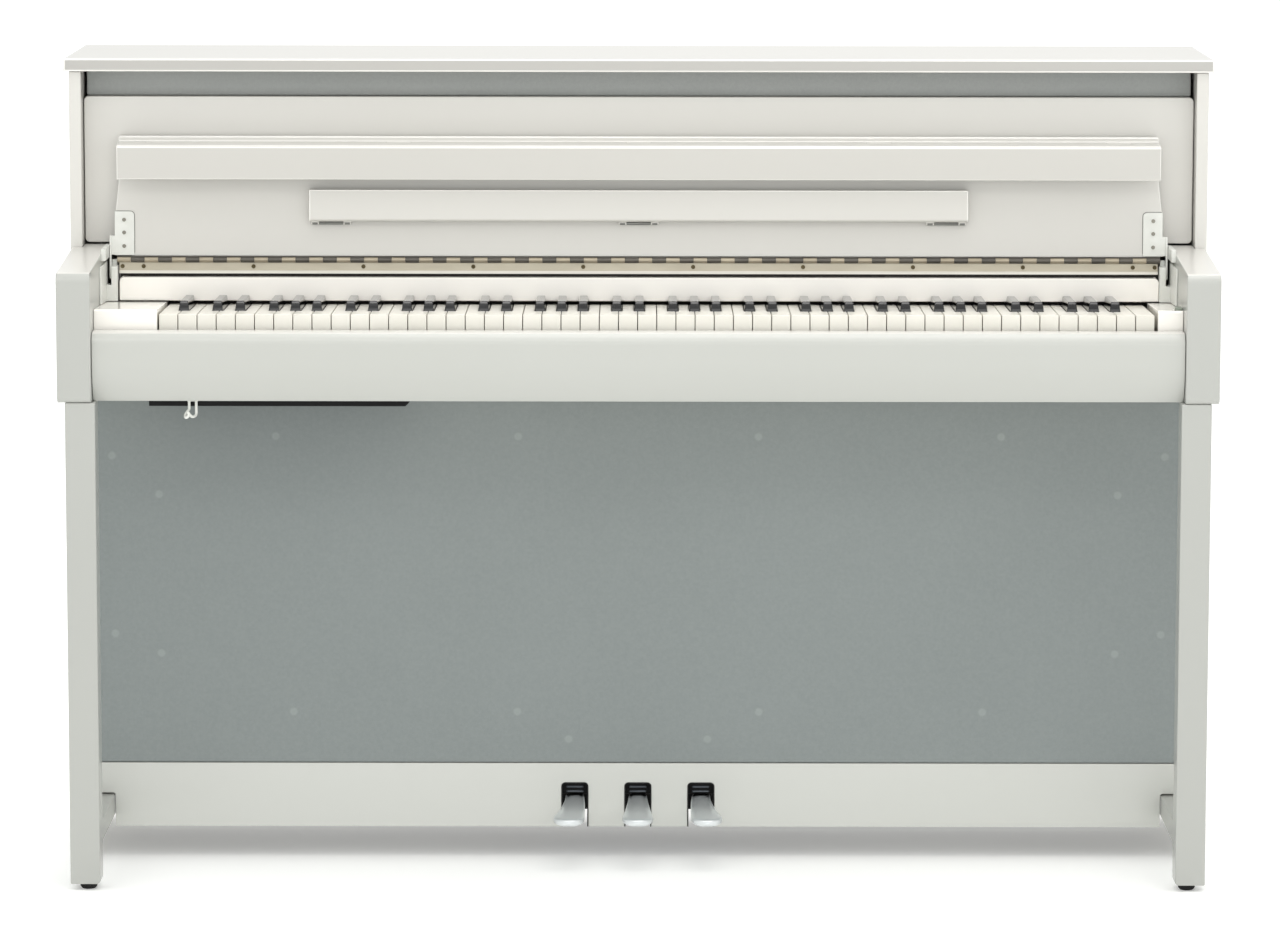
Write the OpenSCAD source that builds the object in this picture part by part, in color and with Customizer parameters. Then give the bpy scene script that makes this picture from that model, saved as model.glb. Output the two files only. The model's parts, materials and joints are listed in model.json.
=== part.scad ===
// Upright digital piano on its own stand: closed case with a cloth-covered
// lower front, a folding key cover, a full keyboard and three pedals.
// Origin: on the floor, at the centre of the footprint. +X runs to the treble
// side, -Y is the side the player sits on, +Z is up. Units: mm.
// Inside the modules, y is counted back from the front of the key arms.

/* [Case] */
// overall width, over the top lid
case_w = 1436; // [1400:1:1480]
// overall depth, from the front of the key arms to the back
case_d = 465; // [440:1:500]
// overall height, to the top of the lid
case_h = 1016; // [990:1:1040]
// thickness of the side panels
side_t = 15; // [12:1:20]
// depth of the front edge of the side panels behind the arm fronts
side_y = 200; // [190:1:215]
// clear width between the side panels
inner_w = 1394; // [1380:1:1400]
// thickness of the top lid
lid_t = 16; // [12:1:22]

/* [Key arms and legs] */
// outer width over the two key arms
arms_w = 1420; // [1400:1:1430]
// width between the two key arms
arms_in = 1337; // [1330:1:1345]
// height of the underside of the key arms
arm_z = 608; // [590:1:630]
// height of the arm tops at their front
arm_top = 767; // [755:1:780]
// slope of the arm tops, rising to the back (degrees)
arm_slope = 3.6; // [0:0.1:6]
// side of the square front legs
leg_w = 37; // [30:1:45]
// height of the feet under legs and side panels
foot_h = 8; // [4:1:12]

/* [Keyboard] */
// distance from one white key to the next
pitch = 23.5; // [23:0.1:24]
// left edge of the lowest white key
keys_x = -588.6; // [-600:0.1:-570]
// front face of the white keys
keys_y = 43.5; // [40:0.5:46]
// height of the white key tops at their front edge
keys_z = 712.7; // [700:0.1:725]
// visible length of a white key
key_len = 149; // [140:1:155]
// length of a white key in front of the black keys
head_len = 54; // [48:1:60]
// height of a black key above the white keys
black_h = 12; // [10:0.5:13]
// key travel (degrees about the rear pivot)
key_dip = 2.4; // [1.5:0.1:3]

/* [Key cover] */
// width of the key cover
cover_w = 1311; // [1290:1:1320]
// height of the cover hinge
hinge_z = 764; // [750:1:775]
// depth of the cover hinge
hinge_y = 198; // [190:1:204]
// length of the cover board from hinge to nose
cover_len = 155; // [140:1:165]
// how far the open cover leans back (degrees)
cover_lean = 2.5; // [0:0.5:5]
// width of the folding music ledge
ledge_w = 824; // [700:1:900]

/* [Pedals] */
// distance between neighbouring pedals
pedal_gap = 80; // [70:1:90]
// height of the lower edge of the pedal board
pedal_board_z = 41; // [35:1:60]
// width of a pedal slot
slot_w = 34; // [28:1:40]

/* [Hidden] */
$fn = 48;
lid_y = 195;                     // lid front edge
side_x = inner_w / 2;            // inner face of a side panel
ax = arms_in / 2;                // inner face of a key arm
ao = arms_w / 2;                 // outer face of a key arm
leg_x = 664;                     // inner face of a leg
leg_y = 3;
key_n = 52;
key_tilt = 1.7;                  // keys slope down towards the back
key_pivot = [230, -36];          // back and up from a key's top front edge
cover_x = cover_w / 2;
lip_w = 1300.6;                  // folding lip and the head of the cover
name_x = [-650.5, 652];          // ends of the name board
name_y = 191;                    // front of the name board
name_z = 742.5;                  // top of the name board
bed_top = 636;
lower_y = 196;                   // front of the lower front
board_y = 225;                   // front of the upper front panel
pedal_pivot = [300, 66];         // y and z of the pedal shaft

WHITE = [0.93, 0.92, 0.90];
CLOTH = [0.55, 0.58, 0.57];
BLACK = [0.06, 0.06, 0.06];
STEEL = [0.75, 0.75, 0.74];
IVORY = [0.96, 0.95, 0.91];
BRASS = [0.72, 0.66, 0.52];

// ---- helpers ---------------------------------------------------------------
module place() translate([0, -case_d / 2, 0]) children();

// a box from its low corner to its high corner
module box(a, b) translate(a) cube([b[0] - a[0], b[1] - a[1], b[2] - a[2]]);

// a profile drawn in (y, z), run along x from x0 to x1
module run(x0, x1)
  translate([x0, 0, 0]) rotate([90, 0, 90]) linear_extrude(x1 - x0) children();

// a plate drawn in (x, z) with its front at y0 and its back at y1
module slab(y0, y1)
  translate([0, y1, 0]) rotate([90, 0, 0]) linear_extrude(y1 - y0) children();

module rounded(w, h, r) {
  translate([r, 0]) square([w - 2 * r, h]);
  translate([0, r]) square([w, h - 2 * r]);
  for (x = [r, w - r], z = [r, h - r]) translate([x, z]) circle(r);
}

module both() { children(); mirror([1, 0, 0]) children(); }

module bar_x(x0, x1, y, z, r)
  translate([x0, y, z]) rotate([0, 90, 0]) cylinder(r = r, h = x1 - x0);

// a domed screw head with a recess, pointing to -y, seated at y
module screw(x, y, z, r, h) translate([x, y, z]) rotate([90, 0, 0])
  difference() {
    cylinder(r = r, h = h);
    translate([0, 0, h - 0.6]) for (a = [0, 90]) rotate([0, 0, a])
      translate([-r * 0.6, -0.4, 0]) cube([r * 1.2, 0.8, 1]);
  }

// ---- case ------------------------------------------------------------------
module side_panel() color(WHITE) place()
  box([side_x, side_y, foot_h], [side_x + side_t, 461, case_h - lid_t - 0.4]);

module side_panel_left() mirror([1, 0, 0]) side_panel();
module side_panel_right() side_panel();

module arm_profile(y1) {
  r1 = 12;
  r2 = 7;
  c = cos(arm_slope);
  t = tan(arm_slope);
  zc = arm_top + r1 * t - r1 / c;
  polygon([[0, arm_z + r2], [r2, arm_z], [y1, arm_z], [y1, arm_top + y1 * t],
    [r1 - r1 * sin(arm_slope), arm_top + (r1 - r1 * sin(arm_slope)) * t],
    [r1, zc], [0, zc]]);
  translate([r2, arm_z + r2]) circle(r2);
  translate([r1, zc]) circle(r1);
}

module key_arm() color(WHITE) place() {
  run(ax, ao) arm_profile(side_y);
  difference() {
    run(ax, side_x - 0.2) arm_profile(board_y);
    box([0, -1, 0], [ao, side_y - 1, 900]);
  }
}
module key_arm_left() mirror([1, 0, 0]) key_arm();
module key_arm_right() key_arm();

module front_leg() color(WHITE) place()
  translate([leg_x, leg_y, foot_h]) difference() {
    cube([leg_w, leg_w, arm_z - foot_h]);
    // chamfered lower inner corner
    translate([0, -1, 0]) rotate([-90, 0, 0])
      linear_extrude(leg_w + 2) polygon([[-1, 1], [4, 1], [-1, -4]]);
  }
module front_leg_left() mirror([1, 0, 0]) front_leg();
module front_leg_right() front_leg();

module toe_rail() color(WHITE) place()
  box([leg_x, leg_y + leg_w, 55], [side_x, 461, 82]);
module toe_rail_left() mirror([1, 0, 0]) toe_rail();
module toe_rail_right() toe_rail();

module glide_feet() color(BLACK) place() both() {
  for (p = [[leg_x + 16, 21], [side_x + side_t / 2, 430]])
    translate([p[0], p[1], 0]) {
      cylinder(r1 = 8, r2 = p[1] < 100 ? 10.5 : 7.4, h = 3);
      translate([0, 0, 3])
        cylinder(r = p[1] < 100 ? 10.5 : 7.4, h = foot_h - 3);
    }
}

module upper_front_panel() color(WHITE) place()
  slab(board_y, board_y + 15) translate([-side_x + 1, 783])
    rounded(inner_w - 2, 184, 6);

module upper_grille() color(CLOTH) place()
  box([-side_x + 4, 237, 967.3], [side_x - 4, 249, case_h - lid_t - 0.4]);

module speaker_board() color([0.25, 0.24, 0.22]) place() difference() {
  box([-side_x, 209, 124], [side_x, 224, 607.8]);
  for (x = [-430, 430]) translate([x, 208, 380]) rotate([-90, 0, 0])
    cylinder(r = 76, h = 20);
}

module lower_grille() color(CLOTH) place()
  box([-side_x, lower_y + 1, 123.4], [side_x, 208.8, 607.8]);

module pedal_slot_2d() {
  translate([-slot_w / 2, 30]) square([slot_w, 98 - 30 - 5]);
  translate([-slot_w / 2 + 5, 30]) square([slot_w - 10, 68]);
  for (s = [-1, 1]) translate([s * (slot_w / 2 - 5), 93]) circle(5);
}

module pedal_board() color(WHITE) place()
  slab(lower_y, lower_y + 15) difference() {
    translate([-side_x, pedal_board_z])
      square([inner_w, 123 - pedal_board_z]);
    both() translate([leg_x - 1, 0]) square([60, 81]);
    both() translate([leg_x + 2, 0]) square([60, 84]);
    both() translate([leg_x + 2, 81]) circle(3);
    for (i = [-1, 0, 1]) translate([i * pedal_gap, 0]) pedal_slot_2d();
  }

module back_panel() color([0.30, 0.28, 0.26]) place() difference() {
  box([-side_x, 449, 100], [side_x, 460.5, 992]);
  box([544, 440, 524], [576, 470, 546]);
}

module key_bed() color([0.62, 0.56, 0.47]) place() difference() {
  union() {
    box([-ax + 0.2, 36.5, 609.2], [ax - 0.2, board_y, bed_top]);
    box([-side_x, board_y, 609.2], [side_x, 448.5, bed_top]);
  }
  // pocket for the box with the headphone sockets
  box([-603, 30, 600], [-279, 192, 630]);
}

module key_slip() color(WHITE) place() run(-ax + 0.5, ax - 0.5)
  difference() {
    intersection() {
      translate([8, 608]) square([28, 86.4]);
      union() {
        translate([8, 655]) square([28, 40]);
        translate([88, 655]) circle(80, $fn = 96);
      }
    }
    difference() {
      translate([7, 679.4]) square([16, 16]);
      translate([23, 679.4]) circle(15);
    }
  }

module block_profile() polygon([[40.5, bed_top], [187, bed_top],
  [187, 712.2], [43, 718.9], [40.5, 717.5]]);

module key_block_left() color(WHITE) place()
  run(-ax + 0.2, keys_x - 1.6) block_profile();

module key_block_right() color(WHITE) place() difference() {
  run(keys_x + key_n * pitch + 1.6 + 2, ax - 0.2) block_profile();
  // well for the power button
  box([657.5, 44.6, 690], [ax + 1, 63, 760]);
}

module name_board() color(WHITE) place() {
  w = name_x[1] - name_x[0];
  slab(name_y, name_y + 12) translate([name_x[0], 713])
    difference() {
      square([w, name_z - 713]);
      for (x = [0, w - 6]) translate([x, name_z - 713 - 6])
        difference() {
          square([6, 6.1]);
          translate([x == 0 ? 6 : 0, 0]) circle(6);
        }
    }
  // felt strip over the keys
  box([keys_x - 1, name_y + 6, 709.4],
    [keys_x + key_n * pitch + 1, name_y + 12, 713]);
  // rail behind it that carries the hinge strip and closes the case
  run(name_x[0], -name_x[0]) polygon([[name_y + 12, 716], [224, 716],
    [224, 745], [240, 745], [240, 782], [223, 782], [223, 761],
    [202.2, 761], [202.2, 736], [name_y + 12, 736]]);
}

// ---- hinges of the key cover -----------------------------------------------
kn = 17.2;                       // length of a hinge knuckle
kn_n = 38;                       // pairs of knuckles
kn_r = 3.4;
lip_p = [-11.34, 145.14];        // hinge of the lip, on the upright cover
lip_x = [-600, -300, 0, 300, 600];
ledge_p = [-2.5, 46.4];          // hinge of the music ledge
ledge_h = [-385, 0, 385];

module strip_knuckles(first) for (i = [0 : kn_n - 1])
  bar_x((2 * i + first - kn_n) * kn + 0.2, (2 * i + first + 1 - kn_n) * kn
    - 0.2, 0, 0, kn_r);

// clears a leaf where the knuckles of the other leaf turn
module knuckle_cuts(first, z0, z1) for (i = [-1 : kn_n])
  box([(2 * i + first - kn_n) * kn - 0.01, -4, z0],
    [(2 * i + first + 1 - kn_n) * kn + 0.01, 4.5, z1]);

module hinge_strip() color(BRASS) place() difference() {
  union() {
    // leaf, with a small lip turned forward at its lower edge
    run(-651, 651) polygon([[197, 746.8], [202, 746.8],
      [202, 761], [199.6, 762], [199.6, 750.4], [197, 750.4]]);
    translate([0, hinge_y, hinge_z]) strip_knuckles(0);
  }
  bar_x(-cover_x, cover_x, hinge_y, hinge_z, 1.65);
  translate([0, hinge_y, hinge_z]) knuckle_cuts(1, -3.9, -1);
}

module strip_screws() color(BRASS) place()
  for (x = concat([for (k = [0 : 9]) -620.6 + 137.8 * k], [-647, 647]))
    screw(x, 199.5, 755.6, 2.6, 1.2);

module cover_brackets() color(WHITE) place() both() {
  // side plate on the arm, slotted block behind it
  run(665.9, ax - 0.1) polygon([[118, 715.9], [187.4, 712.7], [205, 712.7],
    [205, 762], [118, 762]]);
  run(652.3, 660.3) polygon([[187.4, 712.7], [205, 712.7], [205, 757],
    [191.4, 757], [188.6, 755.8], [187.4, 753]]);
  box([652.3, 187.4, 712.7], [ax - 0.1, 205, 733]);
}

// pieces drawn on an upright cover, then leaned back about its hinge
module leaned() place() translate([0, hinge_y, hinge_z])
  rotate([-cover_lean, 0, 0]) children();

module key_cover() color(WHITE) leaned() {
  // the ends run out a little towards the hinge plates
  slab(2.2, 17) polygon([[-cover_x, 4.6], [cover_x, 4.6], [cover_x, 60],
    [lip_w / 2 + 1, 98], [lip_w / 2, cover_len], [-lip_w / 2, cover_len],
    [-lip_w / 2 - 1, 98], [-cover_x, 60]]);
  run(-lip_w / 2, lip_w / 2) polygon([[2.2, 134], [-6.8, 141.5],
    [-6.8, 149.5], [-3, 151.2], [2.2, 153.2]]);
}

module cover_hinges() color(BRASS) leaned() {
  // cover leaf of the long hinge, under the lower edge of the board
  difference() {
    box([-cover_x + 2, -0.8, 3], [cover_x - 2, 16.6, 4.5]);
    knuckle_cuts(0, 0, 3.9);
  }
  strip_knuckles(1);
  bar_x(-kn_n * kn + 2, kn_n * kn - 2, 0, 0, 1.6);
  // lip hinges: barrel, web and pin
  for (x = lip_x) {
    bar_x(x - 14.8, x + 14.8, lip_p[0], lip_p[1], 3.3);
    bar_x(x - 26, x + 26, lip_p[0], lip_p[1], 1.5);
    box([x - 14.8, lip_p[0], lip_p[1] - 1.5],
      [x + 14.8, -6.9, lip_p[1] + 1.5]);
  }
  // ledge hinges
  for (x = ledge_h) {
    bar_x(x - 15, x + 15, ledge_p[0], ledge_p[1], 2);
    bar_x(x - 25, x + 25, ledge_p[0], ledge_p[1], 1);
    box([x - 15, ledge_p[0], ledge_p[1] - 1.2],
      [x + 15, 2.1, ledge_p[1] + 1.2]);
  }
}

module cover_plates() color(WHITE) leaned() both() {
  slab(0.2, 2.1) translate([632, 5.5]) {
    square([24.5, 12]);
    translate([0, 5]) square([24.5, 45]);
    translate([5, 0]) square([19.5, 55]);
    for (z = [5, 50]) translate([5, z]) circle(5);
    translate([24, 0.5]) square([6.8, 24]);
  }
  // link arm, ending in the slot of the bracket
  run(660.6, 662.8) {
    polygon([[-4, -20], [4, -20], [5, 24], [2.1, 30], [0.2, 30], [-4, 18]]);
    translate([0, -20]) circle(4);
  }
}

module plate_screws() color(STEEL) leaned() both()
  for (z = [17, 34, 50]) screw(644.7, 0.15, z, 2.4, 1);

// ---- folding pieces --------------------------------------------------------
module cover_lip() color(WHITE) place() {
  py = hinge_y - 5;
  pz = hinge_z + 145.5;
  difference() {
    union() {
      run(-lip_w / 2, lip_w / 2) polygon([[167.5, 867.6], [167.5, 907.8],
        [169.5, 910.2], [py - 0.8, pz + 3.1], [py - 0.8, pz - 3.1],
        [183, 903.5], [179, 900], [179, 867.6]]);
      bar_x(-lip_w / 2, lip_w / 2, py, pz, 3.3);
    }
    for (x = lip_x) box([x - 15.2, py - 4.2, 900], [x + 15.2, py + 5, 920]);
    bar_x(-lip_w / 2 - 1, lip_w / 2 + 1, py, pz, 1.56);
  }
}

module music_ledge() color(WHITE) leaned() difference() {
  union() {
    run(-ledge_w / 2, ledge_w / 2) difference() {
      translate([-14, 48.6]) square([14.7, 40]);
      translate([-14.1, 48.5]) difference() {
        square([4.1, 4.1]);
        translate([4.1, 4.1]) circle(4);
      }
    }
    for (x = ledge_h, s = [-1, 1]) translate([x + s * 20.2, 0, 0]) {
      bar_x(-4.8, 4.8, ledge_p[0], ledge_p[1], 2);
      box([-4.8, ledge_p[0] - 1.2, ledge_p[1]],
        [4.8, ledge_p[0] + 1.2, 49]);
    }
  }
  bar_x(-500, 500, ledge_p[0], ledge_p[1], 1.06);
}

module top_lid() color(WHITE) place() difference() {
  box([-case_w / 2, lid_y, case_h - lid_t], [case_w / 2, case_d, case_h]);
  bar_x(-side_x, side_x, 462, case_h - lid_t - 0.2, 3);
}

module lid_hinge() color(BRASS) place() {
  bar_x(-side_x + 4, side_x - 4, 462, case_h - lid_t - 0.2, 2.4);
  box([-side_x + 4, 460.6, 972], [side_x - 4, 461.9, case_h - lid_t - 1]);
}

// ---- fittings --------------------------------------------------------------
module headphone_hanger() color(WHITE) place() translate([-550, 0, 0]) {
  box([-9.8, 23, 605.8], [9.8, 35.8, 607.8]);
  for (x = [-7.6, 7.6]) translate([x, 0, 0]) {
    translate([0, 33, 588]) cylinder(r = 1.8, h = 19);
    translate([0, 33, 588]) sphere(1.8);
    translate([0, 33, 588]) rotate([90, 0, 0]) cylinder(r = 1.8, h = 18);
    translate([0, 15, 588]) sphere(1.8);
    translate([0, 15, 588]) cylinder(r = 1.8, h = 7);
    translate([0, 15, 595]) sphere(1.8);
  }
}

module jack_box() color(BLACK) place() difference() {
  slab(37, 190) polygon([[-601, 600], [-286, 600], [-281, 605],
    [-281, 629.6], [-601, 629.6]]);
  for (x = [-520, -490]) translate([x, 70, 590])
    cylinder(r = 3.2, h = 37);
}

module power_button() color([0.6, 0.63, 0.6]) place()
  box([659, 46, 704], [ax - 1, 61.5, 722]);

module mains_inlet() color(BLACK) place() {
  difference() {
    box([545, 446, 525], [575, 461.5, 545]);
    box([549, 450, 528], [571, 470, 542]);
  }
  for (x = [556, 564]) translate([x, 448, 535]) rotate([-90, 0, 0])
    cylinder(r = 1.2, h = 10);
}

module key_frame() color([0.35, 0.35, 0.36]) place() {
  box([keys_x - 1, 46, bed_top], [633, 300, 640]);
  box([keys_x, 60, 640], [632, 90, 664]);
  box([keys_x, 150, 640], [632, 180, 660]);
  for (x = [keys_x - 11, 634.6]) box([x, 252, bed_top], [x + 10, 292, 690]);
  box([keys_x - 11, 252, bed_top], [645, 292, 640]);
  key_shaft();
}

module key_shaft() translate([0, keys_y, keys_z]) rotate([-key_tilt, 0, 0])
  bar_x(keys_x - 5, 640, key_pivot[0], key_pivot[1], 4);

module woofer() rotate([-90, 0, 0]) {
  rotate_extrude() polygon([[60, 0], [82, 0], [82, 3], [70, 3], [44, 44],
    [44, 48], [48, 48], [48, 70], [0, 70], [0, 66], [20, 40], [24, 36],
    [60, 8]]);
}

module woofers() color([0.12, 0.12, 0.13]) place()
  for (x = [-430, 430]) translate([x, 224.4, 380]) woofer();

module tweeters() color([0.12, 0.12, 0.13]) place()
  for (x = [-560, 560]) translate([x, 249.4, 983]) rotate([-90, 0, 0])
    difference() {
      cylinder(r = 15, h = 16);
      translate([0, 0, -9]) sphere(14);
    }

module main_board() color([0.13, 0.33, 0.20]) place() {
  box([-420, 300, 646], [-120, 430, 648]);
  for (x = [-412, -128], y = [308, 422]) translate([x, y, bed_top])
    cylinder(r = 3, h = 10);
  for (x = [-380, -320, -230]) box([x, 340, 648], [x + 34, 374, 652]);
  box([-410, 404, 648], [-300, 426, 664]);
}

module power_unit() color([0.70, 0.70, 0.71]) place() {
  box([420, 330, bed_top], [570, 430, 688]);
  for (y = [345 : 14 : 415]) box([430, y, 688], [560, y + 5, 690]);
}

// ---- pedals ----------------------------------------------------------------
module pedal_bracket() color(BLACK) place() {
  difference() {
    box([-118, 211.4, 38], [118, 328, 118]);
    for (i = [-1, 0, 1]) translate([i * pedal_gap, 0, 0])
      box([-31, 200, 30], [31, 320, 114]);
  }
  bar_x(-116, 116, pedal_pivot[0], pedal_pivot[1], 4);
}

// s: which way the toe swings out, seen from the front
module pedal(s) intersection() {
  difference() {
    union() {
      run(-60, 60) polygon([[95, 64.6], [95, 66.5], [95.6, 68.3],
        [96.8, 69.8], [98.5, 70.7], [101, 71.2], [118, 72.5], [150, 75],
        [186, 77.8], [211, 79.5], [300, 73.5], [300, 58.5], [211, 69.5],
        [186, 69.6], [150, 67.6], [120, 64.4], [100, 61.5],
        [97.5, 61.8], [95.8, 62.8]]);
      bar_x(-60, 60, pedal_pivot[0], pedal_pivot[1], 9);
    }
    bar_x(-61, 61, pedal_pivot[0], pedal_pivot[1], 4.06);
  }
  linear_extrude(200) {
    translate([6.5 * s, 114.5]) circle(19.5, $fn = 96);
    polygon([[6.5 * s - 19.5, 114.5], [6.5 * s + 19.5, 114.5],
      [2.5 * s + 15, 150], [11, 186], [11, 315], [-11, 315], [-11, 186],
      [2.5 * s - 15, 150]]);
  }
}

module pedal_left() color(STEEL) place()
  translate([-pedal_gap, 0, 0]) pedal(-1);
module pedal_middle() color(STEEL) place() pedal(0);
module pedal_right() color(STEEL) place()
  translate([pedal_gap, 0, 0]) pedal(1);

// ---- keys ------------------------------------------------------------------
// white keys are counted from the lowest, an A; letters A..G are 0..6
gap = 0.5;                       // half the gap between two keys
black_w = 13.2;
black_top = 9.6;
// offset of the black key above each letter from the joint it straddles
shift = [3.0, undef, -2.4, 2.2, undef, -3.2, 0];
low_w = [for (i = [0 : 22]) i];
high_w = [for (i = [30 : 51]) i];

function has_black(i) = i >= 0 && i < key_n - 1 && shift[i % 7] != undef;
function black_x(i) = keys_x + pitch * (i + 1) + shift[i % 7];
function left_cut(i) = has_black(i - 1)
  ? black_x(i - 1) + black_w / 2 + gap : keys_x + pitch * i + gap;
function right_cut(i) = has_black(i)
  ? black_x(i) - black_w / 2 - gap : keys_x + pitch * (i + 1) - gap;

// keys are drawn level from their top front edge, then tilted
module tilted() place() translate([0, keys_y, keys_z])
  rotate([-key_tilt, 0, 0]) children();

module key_bore() translate(key_pivot) circle(4.06);

module white_keys(list) color(IVORY) tilted() intersection() {
  run(keys_x - 2, keys_x + key_n * pitch + 2) difference() {
    polygon([[0, 0], [246, 0], [246, -48], [214, -48], [214, -20],
      [3, -20], [3, -22], [0, -22]]);
    key_bore();
  }
  translate([0, 0, -60]) linear_extrude(70) for (i = list) {
    x0 = keys_x + pitch * i + gap;
    x1 = keys_x + pitch * (i + 1) - gap;
    translate([x0, -1]) square([x1 - x0, head_len - 0.9]);
    translate([left_cut(i), 10])
      square([right_cut(i) - left_cut(i), 260]);
  }
}

module black_keys(list) color(BLACK) tilted() intersection() {
  run(keys_x - 2, keys_x + key_n * pitch + 2) difference() {
    polygon([[head_len, 0], [head_len + 4, black_h], [145.3, black_h],
      [145.3, -0.2], [246, -0.2], [246, -48], [214, -48], [214, -20],
      [head_len, -20]]);
    key_bore();
  }
  slab(0, 300) for (i = list) if (has_black(i)) translate([black_x(i), 0])
    polygon([[-black_w / 2, -60], [black_w / 2, -60], [black_w / 2, 0],
      [black_top / 2, black_h + 1], [-black_top / 2, black_h + 1],
      [-black_w / 2, 0]]);
}

module white_keys_low() white_keys(low_w);
module white_keys_high() white_keys(high_w);
module black_keys_low() black_keys(low_w);
module black_keys_high() black_keys(high_w);
module key_c() white_keys([23]);
module key_c_sharp() black_keys([23]);
module key_d() white_keys([24]);
module key_d_sharp() black_keys([24]);
module key_e() white_keys([25]);
module key_f() white_keys([26]);
module key_f_sharp() black_keys([26]);
module key_g() white_keys([27]);
module key_g_sharp() black_keys([27]);
module key_a() white_keys([28]);
module key_a_sharp() black_keys([28]);
module key_b() white_keys([29]);

side_panel_left();
side_panel_right();
key_arm_left();
key_arm_right();
front_leg_left();
front_leg_right();
toe_rail_left();
toe_rail_right();
glide_feet();
upper_front_panel();
upper_grille();
speaker_board();
lower_grille();
pedal_board();
back_panel();
key_bed();
key_slip();
key_block_left();
key_block_right();
name_board();
hinge_strip();
strip_screws();
cover_brackets();
headphone_hanger();
jack_box();
pedal_bracket();
key_frame();
woofers();
tweeters();
main_board();
power_unit();
mains_inlet();
lid_hinge();
top_lid();
key_cover();
cover_hinges();
cover_plates();
plate_screws();
cover_lip();
music_ledge();
power_button();
pedal_left();
pedal_middle();
pedal_right();
white_keys_low();
white_keys_high();
black_keys_low();
black_keys_high();
key_c();
key_c_sharp();
key_d();
key_d_sharp();
key_e();
key_f();
key_f_sharp();
key_g();
key_g_sharp();
key_a();
key_a_sharp();
key_b();
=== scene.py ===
import json
import math

import bmesh
import bpy
import numpy as np
from mathutils import Matrix, Vector

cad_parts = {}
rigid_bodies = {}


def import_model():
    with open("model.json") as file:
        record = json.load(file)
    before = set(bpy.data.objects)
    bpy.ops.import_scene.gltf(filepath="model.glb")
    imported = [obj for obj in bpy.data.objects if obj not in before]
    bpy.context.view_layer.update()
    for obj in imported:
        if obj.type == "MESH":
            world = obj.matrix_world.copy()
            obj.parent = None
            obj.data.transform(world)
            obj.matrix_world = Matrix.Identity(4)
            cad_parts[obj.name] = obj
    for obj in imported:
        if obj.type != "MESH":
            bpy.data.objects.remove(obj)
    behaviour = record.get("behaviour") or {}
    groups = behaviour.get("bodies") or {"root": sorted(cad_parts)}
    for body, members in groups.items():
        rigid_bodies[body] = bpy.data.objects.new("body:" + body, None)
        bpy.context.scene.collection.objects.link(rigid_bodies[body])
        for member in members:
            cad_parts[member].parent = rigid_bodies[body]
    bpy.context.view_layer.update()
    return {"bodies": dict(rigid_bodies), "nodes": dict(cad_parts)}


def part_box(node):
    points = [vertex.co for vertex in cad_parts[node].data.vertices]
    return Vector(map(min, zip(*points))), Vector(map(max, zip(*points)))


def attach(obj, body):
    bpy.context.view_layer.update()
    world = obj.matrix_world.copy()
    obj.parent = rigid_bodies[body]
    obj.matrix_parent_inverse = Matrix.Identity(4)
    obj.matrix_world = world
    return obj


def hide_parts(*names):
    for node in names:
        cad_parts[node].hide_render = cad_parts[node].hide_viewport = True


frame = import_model()
nodes = frame["nodes"]

# Depths are counted back from the fronts of the key arms, which stand this far
# in front of the frame's origin. Heights are counted up from the floor.
ROW = 0.2325
SIDES = ((-1, "left"), (1, "right"))


# ---- materials -------------------------------------------------------------
def rgb(r, g, b):
    """A colour as the eye sees it, 0..255, as the linear numbers of a shader."""
    def lin(c):
        c /= 255
        return c / 12.92 if c <= 0.04045 else ((c + 0.055) / 1.055) ** 2.4
    return (lin(r), lin(g), lin(b), 1)


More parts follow.
